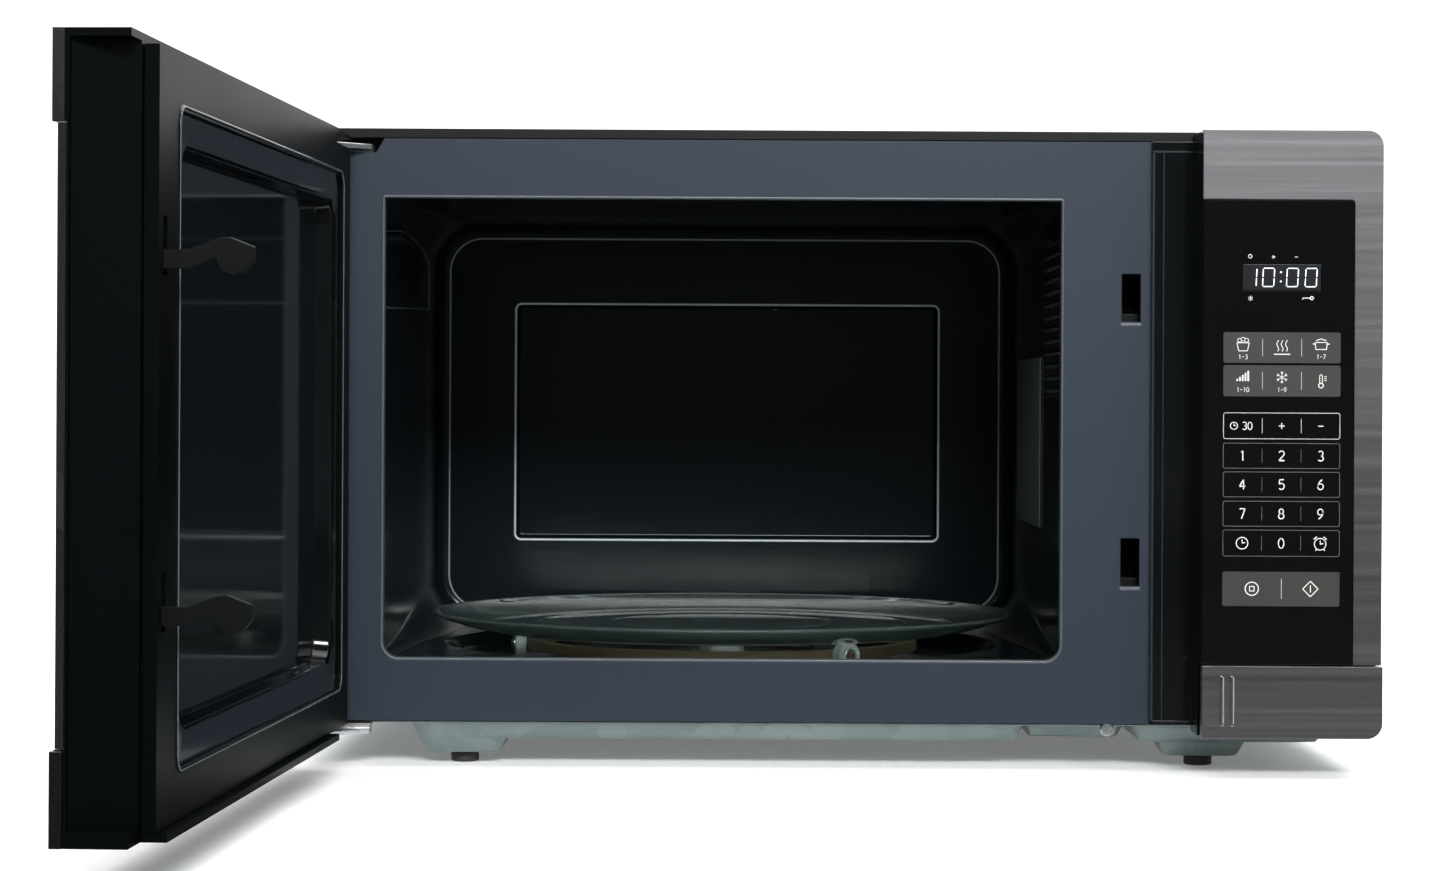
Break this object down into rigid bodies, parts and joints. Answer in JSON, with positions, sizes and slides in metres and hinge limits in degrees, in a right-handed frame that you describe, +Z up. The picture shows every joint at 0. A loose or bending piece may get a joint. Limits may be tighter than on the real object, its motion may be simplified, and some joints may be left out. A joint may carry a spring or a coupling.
{
  "type": "microwave oven",
  "caption": "Countertop microwave oven with an open side-hinged door, a glass turntable in a dark cavity and a push-button control panel on the right.",
  "frame": {"origin": "middle of the base of the bounding box, on the surface the feet stand on, with the door open as stored", "axes": "+Z up; -Y towards the user in front of the oven, +Y towards its back; +X towards the control panel"},
  "size_m": [0.5568, 0.8116, 0.314],
  "materials": {
    "black_cabinet_paint": "satin black powder paint",
    "front_enamel": "smooth satin blue-grey enamel",
    "cavity_enamel": "glossy near-black enamel",
    "galvanised_steel": "galvanised sheet steel with a green-grey tint",
    "dark_brushed_steel": "dark stainless steel brushed along the band",
    "black_plastic": "satin black moulded plastic",
    "gloss_black": "high-gloss black keypad face",
    "tinted_glass": "dark tinted, glossy",
    "tray_glass": "clear pressed glass with a green tint",
    "lamp_glass": "frosted bulb",
    "black_rubber": "matt moulded rubber",
    "bright_steel": "zinc-plated steel",
    "magnetron_aluminium": "stamped cooling fins",
    "white_plastic": "heat-resistant white moulding",
    "tan_plastic": "heat-resistant tan moulding",
    "mica": "grey-green mica sheet",
    "winding": "enamelled copper wire",
    "core_steel": "varnished laminated steel",
    "circuit_board": "green solder mask"
  },
  "bodies": {
    "cabinet": {"base_pan": "galvanised_steel", "capacitor": "bright_steel", "cavity_back": "cavity_enamel", "cavity_floor": "cavity_enamel", "cavity_lamp": "lamp_glass", "cavity_wrap": "cavity_enamel", "control_board": "circuit_board", "cord_gland": "black_plastic", "display_module": "black_plastic", "display_window": "gloss_black", "door_switch_1": "white_plastic", "door_switch_2": "white_plastic", "door_switch_3": "white_plastic", "fan_motor": "core_steel", "fan_shroud": "black_plastic", "front_left_foot": "black_rubber", "front_plate": "front_enamel", "front_right_foot": "black_rubber", "lamp_holder": "white_plastic", "latch_bracket": "black_plastic", "lower_hinge": "bright_steel", "magnetron": "magnetron_aluminium", "noise_filter": "circuit_board", "outer_cabinet": "black_cabinet_paint", "panel_glass": "gloss_black", "panel_housing": "black_plastic", "panel_trim": "dark_brushed_steel", "primary_winding": "winding", "rear_left_foot": "black_rubber", "rear_panel": "galvanised_steel", "rear_right_foot": "black_rubber", "rear_screw_lower_left": "bright_steel", "rear_screw_lower_right": "bright_steel", "rear_screw_upper_left": "bright_steel", "rear_screw_upper_right": "bright_steel", "secondary_winding": "winding", "transformer_core": "core_steel", "turntable_motor": "bright_steel", "upper_hinge": "bright_steel", "waveguide": "galvanised_steel", "waveguide_cover": "mica"},
    "door": {"door_frame": "black_plastic", "door_glass": "tinted_glass", "door_top_band": "dark_brushed_steel", "door_bottom_band": "dark_brushed_steel", "choke_cover": "black_plastic", "inner_window": "tinted_glass", "door_metal_panel": "black_cabinet_paint", "screen_mesh": "black_cabinet_paint", "latch_spring": "bright_steel"},
    "latch": {"latch_bar": "black_plastic"},
    "button": {"release_button": "dark_brushed_steel"},
    "lever": {"release_lever": "white_plastic"},
    "tray": {"glass_tray": "tray_glass", "drive_coupler": "white_plastic"},
    "ring": {"roller_ring": "tan_plastic"},
    "roller_one": {"roller_1": "white_plastic"},
    "roller_two": {"roller_2": "white_plastic"},
    "roller_three": {"roller_3": "white_plastic"},
    "fan": {"fan_blade": "white_plastic"}
  },
  "joints": [
    {"name": "door_hinge", "type": "hinge", "parent": "cabinet", "child": "door", "pos_m": [-0.23703, 0.02053, 0.16], "axis": [0, 0, -1], "range_deg": [-93, 12]},
    {"name": "latch_lift", "type": "slide", "parent": "door", "child": "latch", "axis": [0, 0, 1], "range_m": [0, 0.004], "stiffness_N_per_m": 150, "springref_m": -0.004, "deforming": ["latch_spring"]},
    {"name": "release_push", "type": "slide", "parent": "cabinet", "child": "button", "axis": [0, 1, 0], "range_m": [0, 0.005], "stiffness_N_per_m": 400, "springref_m": -0.002},
    {"name": "lever_turn", "type": "hinge", "parent": "cabinet", "child": "lever", "pos_m": [0.22027, 0.02753, 0.061], "axis": [1, 0, 0], "range_deg": [0, 14.5]},
    {"name": "tray_spin", "type": "hinge", "parent": "cabinet", "child": "tray", "pos_m": [-0.04013, 0.20608, 0.06], "axis": [0, 0, 1], "continuous": true},
    {"name": "ring_spin", "type": "hinge", "parent": "cabinet", "child": "ring", "pos_m": [-0.04013, 0.20608, 0.0495], "axis": [0, 0, 1], "continuous": true},
    {"name": "fan_spin", "type": "hinge", "parent": "cabinet", "child": "fan", "pos_m": [0.20372, 0.35853, 0.122], "axis": [0, 1, 0], "continuous": true},
    {"name": "roller_one_spin", "type": "hinge", "parent": "ring", "child": "roller_one", "pos_m": [-0.14903, 0.19463, 0.0495], "axis": [-0.9945, -0.1045, 0], "continuous": true},
    {"name": "roller_two_spin", "type": "hinge", "parent": "ring", "child": "roller_two", "pos_m": [0.02423, 0.11749, 0.0495], "axis": [0.5878, -0.809, 0], "continuous": true},
    {"name": "roller_three_spin", "type": "hinge", "parent": "ring", "child": "roller_three", "pos_m": [0.00441, 0.30611, 0.0495], "axis": [0.4067, 0.9135, 0], "continuous": true}
  ],
  "couplings": [
    {"joint": "lever_turn", "follows": "release_push", "rad_per_m": 50},
    {"joint": "ring_spin", "follows": "tray_spin", "ratio": 0.5},
    {"joint": "roller_one_spin", "follows": "tray_spin", "ratio": -7.8214},
    {"joint": "roller_two_spin", "follows": "tray_spin", "ratio": -7.8214},
    {"joint": "roller_three_spin", "follows": "tray_spin", "ratio": -7.8214}
  ]
}
